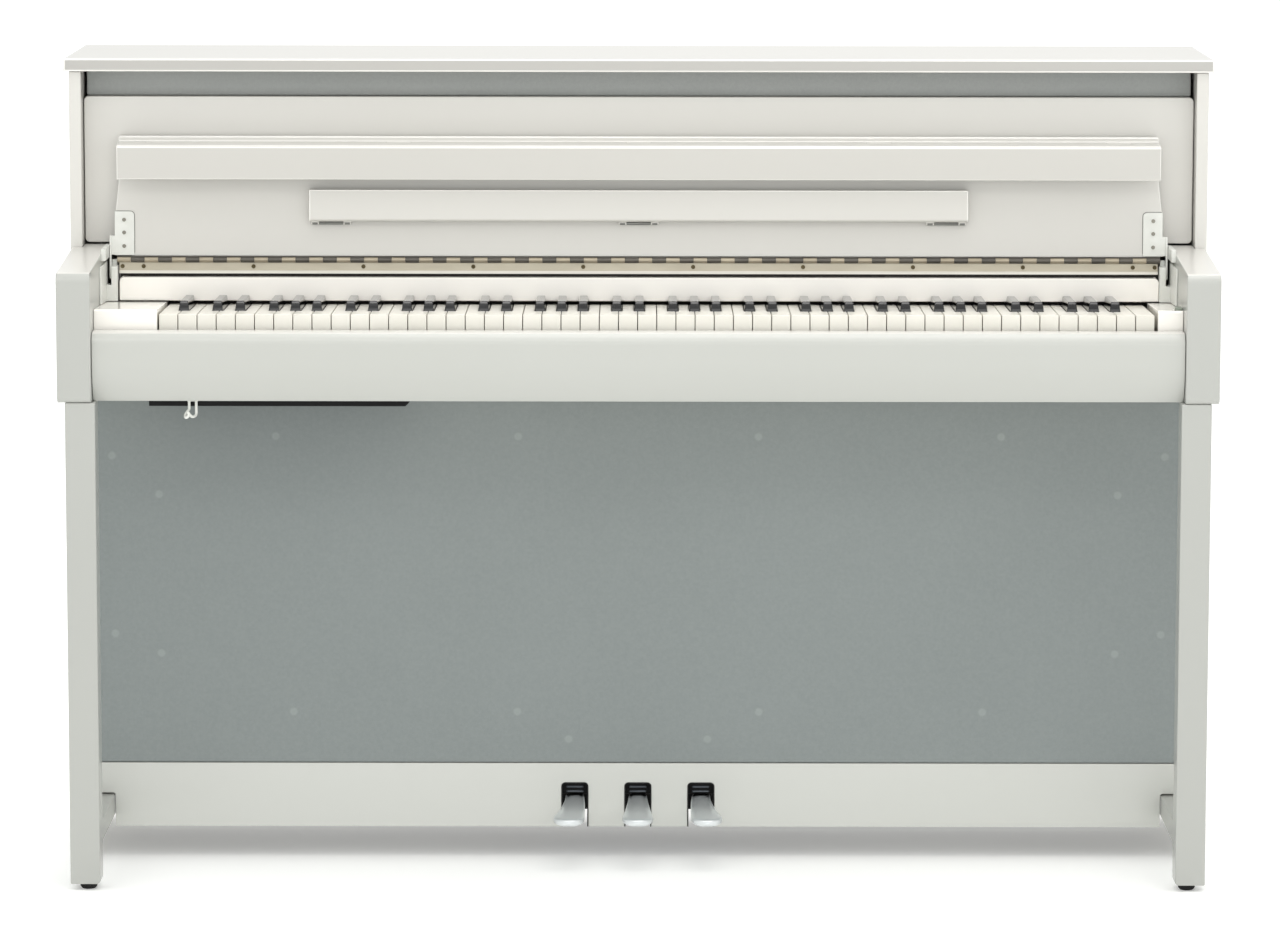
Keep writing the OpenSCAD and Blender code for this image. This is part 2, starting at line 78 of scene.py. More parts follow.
class Mat:
    """A procedural material: a Principled shader and helpers that add nodes."""

    def __init__(self, name, rough=0.4, metal=0.0, spec=0.5, coat=0.0,
                 coat_rough=0.1, sheen=0.0):
        self.m = bpy.data.materials.new(name)
        self.m.use_nodes = True
        self.t = self.m.node_tree
        self.p = self.t.nodes["Principled BSDF"]
        self.p.inputs["Roughness"].default_value = rough
        self.p.inputs["Metallic"].default_value = metal
        self.p.inputs["Specular IOR Level"].default_value = spec
        self.p.inputs["Coat Weight"].default_value = coat
        self.p.inputs["Coat Roughness"].default_value = coat_rough
        self.p.inputs["Sheen Weight"].default_value = sheen
        self.co = self.node("ShaderNodeTexCoord").outputs["Object"]

    def node(self, kind, **sets):
        """A new node; each name given is a property of it or an input."""
        n = self.t.nodes.new(kind)
        for k, v in sets.items():
            if hasattr(n, k):
                setattr(n, k, v)
            else:
                n.inputs[k.replace("_", " ")].default_value = v
        return n

    def link(self, a, b):
        self.t.links.new(a, b)

    def scaled(self, x, y, z):
        """Object coordinates stretched by a factor along each axis."""
        n = self.node("ShaderNodeMapping")
        n.inputs["Scale"].default_value = (x, y, z)
        self.link(self.co, n.inputs["Vector"])
        return n.outputs["Vector"]

    def noise(self, scale, detail=2.0, rough=0.5, vec=None):
        n = self.node("ShaderNodeTexNoise")
        n.inputs["Scale"].default_value = scale
        n.inputs["Detail"].default_value = detail
        n.inputs["Roughness"].default_value = rough
        self.link(vec or self.co, n.inputs["Vector"])
        return n.outputs["Fac"]

    def wave(self, scale, axis, distort=0.0, vec=None):
        n = self.node("ShaderNodeTexWave", wave_type="BANDS",
                      bands_direction=axis)
        n.inputs["Scale"].default_value = scale
        n.inputs["Distortion"].default_value = distort
        self.link(vec or self.co, n.inputs["Vector"])
        return n.outputs["Fac"]

    def ramp(self, fac, a, b, lo=0.3, hi=0.7):
        """Runs from a to b, held within them, while fac goes from lo to hi."""
        n = self.node("ShaderNodeMapRange")
        for k, v in (("From Min", lo), ("From Max", hi), ("To Min", a),
                     ("To Max", b)):
            n.inputs[k].default_value = v
        self.link(fac, n.inputs["Value"])
        return n.outputs["Result"]

    def math(self, op, a, b):
        n = self.node("ShaderNodeMath", operation=op)
        for i, v in enumerate((a, b)):
            if isinstance(v, (int, float)):
                n.inputs[i].default_value = v
            else:
                self.link(v, n.inputs[i])
        return n.outputs[0]

    def mix(self, fac, a, b):
        """Colour a where fac is 0 and b where it is 1."""
        n = self.node("ShaderNodeMix", data_type="RGBA")
        for i, v in ((6, a), (7, b)):          # the node's two colour inputs
            if isinstance(v, tuple):
                n.inputs[i].default_value = v
            else:
                self.link(v, n.inputs[i])
        self.link(fac, n.inputs[0])
        return n.outputs[2]                    # its colour output

    def color(self, out):
        self.link(out, self.p.inputs["Base Color"])

    def rough(self, out):
        self.link(out, self.p.inputs["Roughness"])

    def bump(self, height, strength=0.2, dist=0.0005):
        n = self.node("ShaderNodeBump")
        n.inputs["Strength"].default_value = strength
        n.inputs["Distance"].default_value = dist
        self.link(height, n.inputs["Height"])
        self.link(n.outputs["Normal"], self.p.inputs["Normal"])


def lacquer(name, c1, c2, lo=0.285, hi=0.325, coat=0.3):
    """Sprayed and polished lacquer: slight tone drift, faint orange peel."""
    m = Mat(name, spec=0.5, coat=coat, coat_rough=0.16)
    m.color(m.mix(m.ramp(m.noise(2.2, 3), 0, 1, 0, 1), rgb(*c1), rgb(*c2)))
    m.rough(m.ramp(m.noise(3, 2, 0.5), lo, hi, 0, 1))
    m.bump(m.noise(200, 1), 0.003, 0.0002)
    return m.m


# Pegs behind the lower cloth, the same on both sides of the middle: distance
# from the middle and height above the floor, in metres
PEGS = [(0.4565, 0.541), (0.1512, 0.541), (0.6630, 0.516), (0.6040, 0.467),
        (0.6610, 0.289), (0.6030, 0.264), (0.4360, 0.189), (0.1530, 0.189),
        (0.0880, 0.154)]
PEG_CORE, PEG_RIM = 0.0036, 0.0060             # radii where a spot fades out


def cloth(name, c1, c2, pegs):
    """Stretched acoustic cloth: a plain weave over slow shade changes, and the
    pegs that hold its frame showing through as faint lighter spots."""
    m = Mat(name, rough=0.9, spec=0.15, sheen=0.25)
    m.p.inputs["Sheen Roughness"].default_value = 0.5
    weave = m.math("MAXIMUM", m.wave(420, "X", 0.6), m.wave(420, "Z", 0.6))
    shade = m.mix(m.ramp(m.noise(3.0, 3), 0, 1), rgb(*c1), rgb(*c2))
    dark = m.mix(m.ramp(weave, 0.55, 0, 0.2, 0.9), shade,
                 rgb(*[c * 0.82 for c in c1]))
    out = m.mix(m.ramp(m.noise(240, 3, 0.7), 0, 0.22), dark,
                rgb(*[c * 1.12 for c in c2]))
    if pegs:
        sep = m.node("ShaderNodeSeparateXYZ")
        m.link(m.co, sep.inputs[0])
        x = m.math("ABSOLUTE", sep.outputs["X"], 0.0)
        z = sep.outputs["Z"]
        near = None
        for px, pz in pegs:
            dx = m.math("SUBTRACT", x, px)
            dz = m.math("SUBTRACT", z, pz)
            d = m.math("SQRT", m.math("ADD", m.math("MULTIPLY", dx, dx),
                                      m.math("MULTIPLY", dz, dz)), 0.0)
            near = d if near is None else m.math("MINIMUM", near, d)
        spot = m.ramp(near, 0.28, 0.0, PEG_CORE, PEG_RIM)
        out = m.mix(spot, out, rgb(172, 178, 176))
    m.color(out)
    m.bump(m.math("ADD", weave, m.math("MULTIPLY", m.noise(900, 2), 0.6)),
           0.35, 0.0003)
    return m.m


def metal(name, c1, c2, lo, hi, metallic=1.0, grain=None, bump=0.05):
    """Metal, or paint on metal, brushed along an axis where grain is given."""
    m = Mat(name, metal=metallic)
    src = m.scaled(*grain) if grain else m.co
    n = m.noise(60, 4, 0.6, src)
    m.color(m.mix(m.ramp(n, 0, 1), rgb(*c1), rgb(*c2)))
    m.rough(m.ramp(m.noise(130, 3, 0.6, src), lo, hi))
    m.bump(m.noise(300, 2, 0.5, src), bump, 0.0002)
    return m.m


def plastic(name, c1, c2, lo=0.35, hi=0.5, grain=500, bump=0.12, spec=0.5):
    """Moulded plastic, rubber or felt: a fine grain under a slow tone drift."""
    m = Mat(name, spec=spec)
    m.color(m.mix(m.ramp(m.noise(18, 3), 0, 1), rgb(*c1), rgb(*c2)))
    m.rough(m.ramp(m.noise(80, 3, 0.6), lo, hi))
    m.bump(m.noise(grain, 2), bump, 0.0003)
    return m.m


def board(name, c1, c2):
    """Hardboard or particle board: pressed flecks and a dry surface."""
    m = Mat(name, rough=0.75, spec=0.25)
    fleck = m.noise(150, 5, 0.7, m.scaled(1, 1, 0.35))
    m.color(m.mix(m.ramp(fleck, 0, 1), rgb(*c1), rgb(*c2)))
    m.rough(m.ramp(m.noise(90, 3), 0.65, 0.85))
    m.bump(m.noise(380, 4, 0.7), 0.3, 0.0004)
    return m.m


# Roughness stays either above 0.285 or below 0.25: the renderer's noise filter
# draws an outline on a surface where it passes through the values between.
M = {
    "lacquer": lacquer("off_white_lacquer", (207, 205, 200), (203, 201, 195)),
    # the lid's top: a darker copy of the lacquer, as painted shade
    "lacquer_lid_shaded": lacquer("off_white_lid_painted_shade", (197, 195, 191), (193, 191, 186)),
    # the lid's front and sides, darker still, as painted shade
    "lacquer_lid_side_shaded": lacquer("off_white_lid_side_painted_shade", (176, 174, 170), (172, 170, 165)),
    # lighter lacquers for rounded edges: painted highlights along them
    "lacquer_shine": lacquer("off_white_painted_highlight", (252, 250, 246),
                             (249, 247, 242), 0.2, 0.24, 0.5),
    "lacquer_glint": lacquer("off_white_thin_painted_highlight", (232, 230, 226),
                             (229, 227, 222), 0.2, 0.24, 0.5),
    # the cover's lip: a darker copy of the lacquer, as painted shade
    "lacquer_lip_shaded": lacquer("off_white_lip_painted_shade", (192, 190, 185), (188, 186, 180)),
    # arms, legs and toe rails: a darker copy of the lacquer, as painted shade on
    # the lower case
    "lacquer_leg_shaded": lacquer("off_white_leg_painted_shade", (175, 176, 171), (171, 172, 167)),
    # the key slip's front: a darker copy of the lacquer, as painted shade
    "lacquer_slip_shaded": lacquer("off_white_slip_painted_shade", (183, 184, 179), (179, 180, 174)),
    # the pedal board: a darker copy of the lacquer, as painted shade
    "lacquer_pedal_board_shaded": lacquer("off_white_pedal_board_painted_shade", (199, 200, 195), (195, 196, 190)),
    # the name board and key blocks: a lighter copy of the lacquer, as painted light
    "lacquer_lit_board": lacquer("off_white_name_board_painted_light", (247, 244, 238),
                             (245, 241, 234), 0.12, 0.16, 0.5),
    "cloth": cloth("grey_acoustic_cloth", (134, 140, 139), (139, 145, 144), PEGS),
    "cloth_top": cloth("grey_top_cloth", (155, 158, 156), (160, 162, 160), []),
    # dark board for the speaker board, and on the name board's back as painted
    # shade
    "dark": board("dark_board", (38, 37, 36), (52, 50, 48)),
    "bare": board("painted_hardboard", (196, 192, 184), (207, 203, 195)),
    "brass": metal("pale_brass", (184, 176, 158), (194, 187, 170), 0.34, 0.48,
                   0.4, (0.2, 1, 1)),
    # the hinge strip's folded lip: a lighter copy of its paint, as painted
    # highlight
    "strip_lip_painted_highlight": metal("strip_lip_painted_highlight", (214, 211, 202), (222, 219, 210), 0.3, 0.4,
                       0.2, (0.2, 1, 1)),
    # hinge knuckles darkened below their metal's tone, as painted shade in the
    # hinge row
    "knuckle": metal("hinge_knuckle_painted_shade", (74, 71, 67), (92, 88, 81), 0.29, 0.4, 0.5,
                     (0.2, 1, 1)),
    # the strip's knuckles: a darker copy of its brass paint, as painted shade
    "strip_knuckle_painted_shade": metal("strip_knuckle_painted_shade", (150, 140, 122), (168, 158, 139),
                           0.3, 0.45, 0.5, (0.2, 1, 1)),
    "hinge_grey": metal("ledge_hinge_steel", (120, 121, 118), (142, 143, 139),
                        0.3, 0.45, 0.6, (0.2, 1, 1)),
    "white_metal": metal("white_painted_metal", (222, 223, 218), (216, 217, 211),
                         0.3, 0.42, 0.0),
    "black_plastic": plastic("black_plastic", (9, 9, 10), (14, 14, 15),
                             spec=0.15),
    "steel": metal("grey_steel", (150, 152, 154), (172, 174, 176), 0.3, 0.45),
    "circuit": plastic("circuit_board", (22, 74, 48), (30, 92, 60), 0.3, 0.45,
                       260, 0.2),
    "alu": metal("aluminium_case", (188, 190, 192), (206, 208, 210), 0.3, 0.45,
                 1.0, (1, 1, 0.05)),
    "screw": metal("bright_screw", (120, 117, 108), (140, 137, 128), 0.3, 0.4),
    "screw_gold": metal("strip_screw", (74, 66, 50), (104, 94, 72), 0.3, 0.45),
    "grey_plastic": plastic("grey_plastic", (128, 136, 124), (138, 146, 134)),
    "chrome": metal("pedal_chrome", (214, 218, 219), (217, 221, 222), 0.285,
                    0.32, 0.55, None, 0.0),
    # the guard's pressed ribs in a lighter grey than the black guard: the lighter
    # tone is painted highlight
    "rib": metal("guard_rib_painted_highlight", (92, 98, 104), (112, 118, 124), 0.285, 0.4, 0.5),
    "ivory": plastic("ivory_keys", (226, 223, 214), (222, 219, 209), 0.285, 0.34,
                     700, 0.04),
    "ebony": plastic("black_key_tops", (28, 28, 29), (35, 35, 36), 0.06, 0.1,
                     900, 0.01),
    "rubber": plastic("black_rubber", (24, 24, 24), (34, 34, 34), 0.7, 0.85,
                      300, 0.3, 0.3),
    # a thin dark line round the cover's end plates, as painted shade
    "seat": plastic("painted_shade_line", (112, 112, 108), (124, 124, 120), 0.6, 0.7),
    "felt": plastic("dark_felt", (26, 24, 24), (38, 35, 34), 0.9, 1.0, 900, 0.6,
                    0.1),
}


# ---- CAD nodes: finish and edge softening -----------------------------------
def finish(name, mat, width=0.0, segments=2, extra=(), pick=None, edge=-1,
           only=None):
    """Gives a CAD node its material and, with a width in millimetres, rounded
    edges. Faces for which pick(centre) gives n take the n-th extra material;
    the rounded edges take the material numbered edge, or that of the faces
    beside them; only(point) may name the corners that are rounded."""
    o = nodes[name]
    me = o.data
    me.materials.clear()
    for m in (mat, *extra):
        me.materials.append(M[m])
    for p in me.polygons:
        p.material_index = pick(p.center) if pick else 0
    if not width:
        return
    for a in ("custom_normal", "sharp_edge", "sharp_face"):
        if a in me.attributes:
            me.attributes.remove(me.attributes[a])
    me.polygons.foreach_set("use_smooth", [True] * len(me.polygons))
    weld = o.modifiers.new("weld", "WELD")
    weld.merge_threshold = 0.00002
    planes = o.modifiers.new("planes", "DECIMATE")
    planes.decimate_type = "DISSOLVE"
    planes.angle_limit = math.radians(0.5)
    planes.delimit = {"MATERIAL"}
    bevel = o.modifiers.new("edges", "BEVEL")
    bevel.width = width / 1000
    bevel.segments = segments
    bevel.limit_method = "ANGLE"
    bevel.angle_limit = math.radians(32)
    bevel.use_clamp_overlap = False
    bevel.miter_outer = "MITER_ARC"
    bevel.material = edge
    if only:
        g = o.vertex_groups.new(name="rounded")
        g.add([v.index for v in me.vertices if only(v.co)], 1.0, "REPLACE")
        bevel.limit_method = "VGROUP"
        bevel.vertex_group = "rounded"
    normals = o.modifiers.new("normals", "WEIGHTED_NORMAL")
    normals.weight = 60
    normals.keep_sharp = False
    me.update()


# Heights and depths, in metres, that part the faces of one node
LID_TOP = 1.0155                  # just below the lid's top face
LID_FRONT = -0.03                 # corners before it belong to the lid's front
ARM_TOP = 0.7665                  # just below the flat top of the key arms
SLIP_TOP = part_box("key_slip")[1].z - 0.002     # just below the slip's top face
NAME_FELT = 0.7125                # the felt under the name board ends here
NAME_SHADED_BACK = 0.2015 - ROW          # back of the name board, painted dark as painted shade in the gap above it
LEDGE_HINGES = 0.8124             # hinge leaves under the music ledge
STRIP_KNUCKLES = 0.7585           # knuckles of the long hinge stand above it
STRIP_LIP = 0.7506                # folded lip at the foot of the hinge strip
STRIP_FACE = 0.1992 - ROW         # and in front of this depth
LEDGE_LEAVES = 0.79               # the ledge's hinges begin above the long hinge
LIP_HINGE = 0.88                  # the hinge of the folding lip, above them

for _, hand in SIDES:
    finish("side_panel_" + hand, "lacquer", 1.2)
    # arms, legs and toe rails take the darker copy as painted shade; the arms' flat
    # tops keep the plain lacquer, lighter than their fronts
    finish("key_arm_" + hand, "lacquer_leg_shaded", 1.4, 3, ("lacquer",),
           lambda c: 1 if c.z > ARM_TOP else 0)
    finish("front_leg_" + hand, "lacquer_leg_shaded", 1.6, 3)
    finish("toe_rail_" + hand, "lacquer_leg_shaded", 1.5)
    # the key blocks take the lighter lacquer copy as painted light
    finish("key_block_" + hand, "lacquer_lit_board", 1.2)
finish("upper_front_panel", "lacquer", 1.5, 3)
# the pedal board takes the darker lacquer copy as painted shade
finish("pedal_board", "lacquer_pedal_board_shaded", 0.8)
# the slip's front in the darker copy as painted shade; its top face keeps the plain
# lacquer
finish("key_slip", "lacquer_slip_shaded", 0.8, 2, ("lacquer",),
       lambda c: 1 if c.z > SLIP_TOP else 0)
# the name board's face in the lighter lacquer copy as painted light, its back
# painted dark as painted shade, felt below
finish("name_board", "lacquer_lit_board", 1.2, 3, ("dark", "felt"),
       lambda c: 2 if c.z < NAME_FELT else 1 if c.y > NAME_SHADED_BACK else 0)
# lighter lacquer on rounded edges stands for the highlights along them
# the lid's top and, darker still, its front and sides take shaded copies of the
# lacquer as painted shade
finish("top_lid", "lacquer_lid_shaded", 2.0, 3, ("lacquer_lid_side_shaded", "lacquer_glint"),
       lambda c: 1 if c.z < LID_TOP else 0, 2,
       lambda v: v.z > LID_TOP or v.y < LID_FRONT)
# rounded edges of the cover, its lip and the music ledge take lighter lacquer as
# painted highlights
finish("key_cover", "lacquer", 0.9, 2, ("lacquer_glint",), None, 1)
# the lip's faces take the darker lacquer copy as painted shade
finish("cover_lip", "lacquer_lip_shaded", 0.9, 2, ("lacquer_glint",), None, 1)
finish("music_ledge", "lacquer", 1.4, 3, ("hinge_grey", "lacquer_shine"),
       lambda c: 1 if c.z < LEDGE_HINGES else 0, 2)
# the strip's folded lip takes the lighter copy as painted highlight; its knuckles a
# darker one as painted shade
finish("hinge_strip", "brass", extra=("strip_lip_painted_highlight", "strip_knuckle_painted_shade"),
       pick=lambda c: 2 if c.z > STRIP_KNUCKLES else
       1 if c.y < STRIP_FACE and c.z < STRIP_LIP else 0)
# the cover's hinge knuckles in the darkened metal, as painted shade
finish("cover_hinges", "knuckle", extra=("hinge_grey", "lacquer"),
       pick=lambda c: 2 if c.z > LIP_HINGE else 1 if c.z > LEDGE_LEAVES else 0)

# nodes of one material: name, material, rounding and its number of segments
PLAIN = (
    ("back_panel", "bare", 0.8, 2),
    ("black_keys_high", "ebony", 1.0, 3),
    ("black_keys_low", "ebony", 1.0, 3),
    ("cover_brackets", "white_metal", 0.6, 2),
    ("cover_plates", "white_metal", 0.5, 2),
    ("glide_feet", "rubber", 0.8, 2),
    ("headphone_hanger", "white_metal", 0, 0),
    ("jack_box", "black_plastic", 0.6, 2),
    ("key_bed", "bare", 0.6, 2),
    ("key_frame", "steel", 0, 0),
    ("lid_hinge", "brass", 0, 0),
    ("lower_grille", "cloth", 2.5, 3),
    ("main_board", "circuit", 0, 0),
    ("mains_inlet", "black_plastic", 0.5, 2),
    ("pedal_bracket", "black_plastic", 0.6, 2),
    ("pedal_left", "chrome", 0, 0),
    ("pedal_middle", "chrome", 0, 0),
    ("pedal_right", "chrome", 0, 0),
    ("plate_screws", "screw", 0, 0),
    ("power_button", "grey_plastic", 0.6, 2),
    ("power_unit", "alu", 0.5, 2),
    ("speaker_board", "dark", 0, 0),
    ("strip_screws", "screw_gold", 0, 0),
    ("tweeters", "black_plastic", 0, 0),
    ("upper_grille", "cloth_top", 2.0, 2),
    ("white_keys_high", "ivory", 0.7, 3),
    ("white_keys_low", "ivory", 0.7, 3),
    ("woofers", "black_plastic", 0, 0),
)
for settings in PLAIN:
    finish(*settings)

# the keys of the octave that move singly
for name in nodes:
    if name.startswith("key_") and name in frame["bodies"]:
        if name.endswith("_sharp"):
            finish(name, "ebony", 1.0, 3)
        else:
            finish(name, "ivory", 0.7, 3)


# ---- mesh helpers for detail pieces ------------------------------------------
def piece(name, verts, faces, mat, body, slot, replaces=(), smooth=True,
          bevel=0.0, angle=40):
    """A named mesh that rides a body; edges sharper than angle stay sharp."""
    me = bpy.data.meshes.new(name)
    me.from_pydata([tuple(v) for v in verts], [], faces)
    me.validate()
    bm = bmesh.new()
    bm.from_mesh(me)
    bmesh.ops.remove_doubles(bm, verts=bm.verts, dist=1e-6)
    bmesh.ops.recalc_face_normals(bm, faces=bm.faces)
    bm.to_mesh(me)
    bm.free()
    o = bpy.data.objects.new(name, me)
    bpy.context.scene.collection.objects.link(o)
    me.materials.append(M[mat])
    if smooth:
        me.shade_smooth()
        me.set_sharp_from_angle(angle=math.radians(angle))
    if bevel:
        b = o.modifiers.new("edges", "BEVEL")
        b.width = bevel / 1000
        b.segments = 3
        b.limit_method = "ANGLE"
        b.angle_limit = math.radians(40)
        b.harden_normals = True
    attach(o, body)
    if replaces:
        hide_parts(*replaces)
        for n in replaces:
            nodes[n].hide_render = True


def loft(rings):
    """A closed skin through rings of equal length, capped at both ends."""
    n = len(rings[0])
    verts = [v for r in rings for v in r]
    faces = []
    for i in range(len(rings) - 1):
        for j in range(n):
            k = (j + 1) % n
            faces.append((i * n + j, i * n + k, (i + 1) * n + k, (i + 1) * n + j))
    faces.append(tuple(range(n)))
    faces.append(tuple(range((len(rings) - 1) * n, len(rings) * n)))
    return verts, faces


def band(n):
    """Faces of a bar along four lines of n points: lines 0 and 1, 2 and 3, 0
    and 2, and 1 and 3 are its four sides, and both its ends are closed."""
    faces = []
    for j in range(n - 1):
        faces.append((j, j + 1, n + j + 1, n + j))
        faces.append((2 * n + j, 3 * n + j, 3 * n + j + 1, 2 * n + j + 1))
        faces.append((j, 2 * n + j, 2 * n + j + 1, j + 1))
        faces.append((n + j, n + j + 1, 3 * n + j + 1, 3 * n + j))
    for j in (0, n - 1):
        faces.append((j, n + j, 3 * n + j, 2 * n + j))
    return faces


def join_parts(parts):
    """Several (verts, faces) pairs as one."""
    verts, faces = [], []
    for v, f in parts:
        k = len(verts)
        verts += v
        faces += [tuple(k + i for i in q) for q in f]
    return verts, faces


def boxes(list_of_boxes):
    """Several plain boxes as one mesh; the bevel is added by piece()."""
    verts, faces = [], []
    for (x0, y0, z0), (x1, y1, z1) in list_of_boxes:
        k = len(verts)
        verts += [(x, y, z) for x in (x0, x1) for y in (y0, y1) for z in (z0, z1)]
        faces += [tuple(k + i for i in f) for f in
                  ((0, 1, 3, 2), (4, 6, 7, 5), (0, 4, 5, 1), (2, 3, 7, 6),
                   (0, 2, 6, 4), (1, 5, 7, 3))]
    return verts, faces


def row(points):
    """Millimetres counted from the arm fronts, to metres in the row frame."""
    return [(x / 1000, y / 1000 - ROW, z / 1000) for x, y, z in points]


# ---- pedals ------------------------------------------------------------------
# Side view of a pedal: depths in the first list, heights in the second
CAST_TOP = ([95, 95.6, 96.8, 98.5, 101, 118, 150, 186, 208, 210.5, 212.5, 218, 300],
            [66.4, 68.2, 69.7, 70.6, 71.15, 72.4, 74.9, 77.7, 79.2, 78.8, 76.6,
             74.6, 73.4])
CAST_LOW = ([95, 95.8, 97.5, 100, 120, 150, 186, 211, 291, 300],
            [64.7, 62.9, 61.9, 61.6, 64.5, 67.7, 69.7, 69.6, 60.0, 58.6])
# How far the middle stands above the sides, and the raised rims along the sides
CROWN = ([104, 150, 186, 208, 214], [0.7, 1.6, 2.6, 3.2, 0.6])
RIM = ([140, 172, 200, 208, 210.5], [0.0, 2.4, 5.0, 5.4, 0.0])
CAST_DEPTHS = [95.02, 95.15, 95.4, 95.9, 96.6, 97.6, 99, 101, 104, 108, 112, 116,
               121, 127, 134, 142, 150, 160, 172, 184, 196, 203, 208, 210.5, 212.5,
               218, 235, 262, 296]
TOE_DEPTH, TOE_RADIUS = 114.5, 19.5    # centre and radius of the round toe
TOE_SHIFT = 6.5                        # toes of the outer pedals turn outwards
RING = 72                              # points round the section
SQUARENESS = 4.5                       # 2 is an ellipse, more is squarer


def cast_edges(y, turn):
    """Left and right edge of a pedal's plan shape at depth y."""
    cx, cy, r = TOE_SHIFT * turn, TOE_DEPTH, TOE_RADIUS
    if y <= cy:
        h = math.sqrt(max(0.0, r * r - (cy - y) ** 2))
        return cx - h, cx + h
    depths = [cy, 150, 186, 208, 214, 400]
    neck = 2.5 * turn
    return (float(np.interp(y, depths, [cx - r, neck - 15.8, -12.8, -12, -9, -9])),
            float(np.interp(y, depths, [cx + r, neck + 15.8, 12.8, 12, 9, 9])))


def pedal(name, x0, turn):
    """A cast pedal: crowned toe with a rounded rim, narrowing to its shank."""
    rings = []
    for y in CAST_DEPTHS:
        xl, xr = cast_edges(y, turn)
        c, h = (xl + xr) / 2, (xr - xl) / 2
        zt, zb = np.interp(y, *CAST_TOP), np.interp(y, *CAST_LOW)
        zc, hz = (zt + zb) / 2, (zt - zb) / 2
        crown, rim = np.interp(y, *CROWN), np.interp(y, *RIM)
        ring = []
        for k in range(RING):
            t = 2 * math.pi * k / RING
            ct, st = math.cos(t), math.sin(t)
            u = math.copysign(abs(ct) ** (2 / SQUARENESS), ct)
            v = math.copysign(abs(st) ** (2 / SQUARENESS), st)
            z = zc + hz * v
            if v > 0:
                z -= crown * v * u * u * min(1, h / 14)
                z += rim * v * math.exp(-((abs(u) - 0.93) / 0.07) ** 2)
            ring.append((x0 + c + h * u, y, z))
        rings.append(row(ring))
    piece(name + "_cast", *loft(rings), "chrome", name, "pedal_chrome", [name],
          angle=60)


# Lining of a pedal's slot: half width, height of the top and corner radius of
# its outer and inner line, the foot of both, and the depths of its two faces
LINING_OUTER = (16.95, 97.95, 5)
LINING_INNER = (15.7, 96.7, 3.8)
LINING_FOOT = 41.2
LINING_DEPTHS = (195.6, 211.2)
CORNER = [math.pi / 12 * k for k in range(7)]


def arch(x0, y, hw, top, r):
    """An inverted U about x0, at depth y, with rounded upper corners."""
    pts = [(x0 - hw, y, LINING_FOOT)]
    for a in CORNER:
        pts.append((x0 - hw + r + r * math.cos(math.pi - a), y,
                    top - r + r * math.sin(math.pi - a)))
    for a in CORNER:
        pts.append((x0 + hw - r + r * math.cos(math.pi / 2 - a), y,
                    top - r + r * math.sin(math.pi / 2 - a)))
    pts.append((x0 + hw, y, LINING_FOOT))
    return pts


# Guard behind a slot: its section as (depth, height), and the heights of the
# two pressed ribs with their outline as (distance from the middle, fullness)
GUARD = ((213.4, 113), (213.4, 80.9), (216, 80.9), (216, 113))
GUARD_HALF = 30.5
RIB_HEIGHTS = (89.2, 83.4)
RIB_OUTLINE = ((-11.4, 0.1), (-11.1, 0.6), (-10.4, 0.9), (-9, 1), (9, 1),
               (10.4, 0.9), (11.1, 0.6), (11.4, 0.1))
RIB_DEPTH, RIB_HALF, RIB_Y = 1.3, 1.5, 213.5

for hand, x0, turn in (("left", -80, -1), ("middle", 0, 0), ("right", 80, 1)):
    pedal("pedal_" + hand, x0, turn)
    lines = [arch(x0, y, *line) for line in (LINING_OUTER, LINING_INNER)
             for y in LINING_DEPTHS]
    piece("slot_lining_" + hand, row(sum(lines, [])), band(len(lines[0])),
          "rubber", "case", "black_rubber", angle=50)
    guard = [row([(x, y, z) for y, z in GUARD])
             for x in (x0 - GUARD_HALF, x0 + GUARD_HALF)]
    piece("slot_guard_" + hand, *loft(guard), "black_plastic", "case",
          "black_plastic", angle=30)
    ribs = []
    for z in RIB_HEIGHTS:
        ribs.append(loft([row([(x0 + x, RIB_Y - RIB_DEPTH * full * math.sin(a),
                                z + RIB_HALF * full * math.cos(a))
                               for a in [math.pi * k / 10 for k in range(11)]])
                          for x, full in RIB_OUTLINE]))
    # the ribs take the lighter grey as painted highlight
    piece("slot_ribs_" + hand, *join_parts(ribs), "rib", "case", "black_metal",
          angle=40)


# ---- fasteners ---------------------------------------------------------------
# Rings of a screw head, as parts of its radius; the last one drops to the sheet
HEAD_RINGS = [0, 0.1, 0.2, 0.3, 0.4, 0.5, 0.6, 0.72, 0.84, 0.94, 1.0, 1.0]
HEAD_POINTS = 48
RECESS_HALF = 0.36 * 0.42              # half width of an arm of the cross
RECESS_END = 0.66                      # how far out the cross reaches


def screw_head(centre, normal, r, h, turn):
    """A raised countersunk head with a cross recess; rings of a polar grid."""
    n = Vector(normal).normalized()
    a = n.orthogonal().normalized()
    a = Matrix.Rotation(turn, 3, n) @ a
    b = n.cross(a)
    verts, faces = [], []
    seg = HEAD_POINTS
    for i, q in enumerate(HEAD_RINGS):
        for k in range(seg):
            t = 2 * math.pi * k / seg
            x, y = q * math.cos(t), q * math.sin(t)
            z = h * (1 - 0.55 * q * q)
            if q < RECESS_END and min(abs(x), abs(y)) < RECESS_HALF:
                z -= h * (1 - q / 0.7)
            if i == len(HEAD_RINGS) - 1:
                z = 0
            verts.append(Vector(centre) + a * (x * r) + b * (y * r) + n * z)
    for i in range(len(HEAD_RINGS) - 1):
        for k in range(seg):
            j = (k + 1) % seg
            faces.append((i * seg + k, i * seg + j, (i + 1) * seg + j,
                          (i + 1) * seg + k))
    return verts, faces


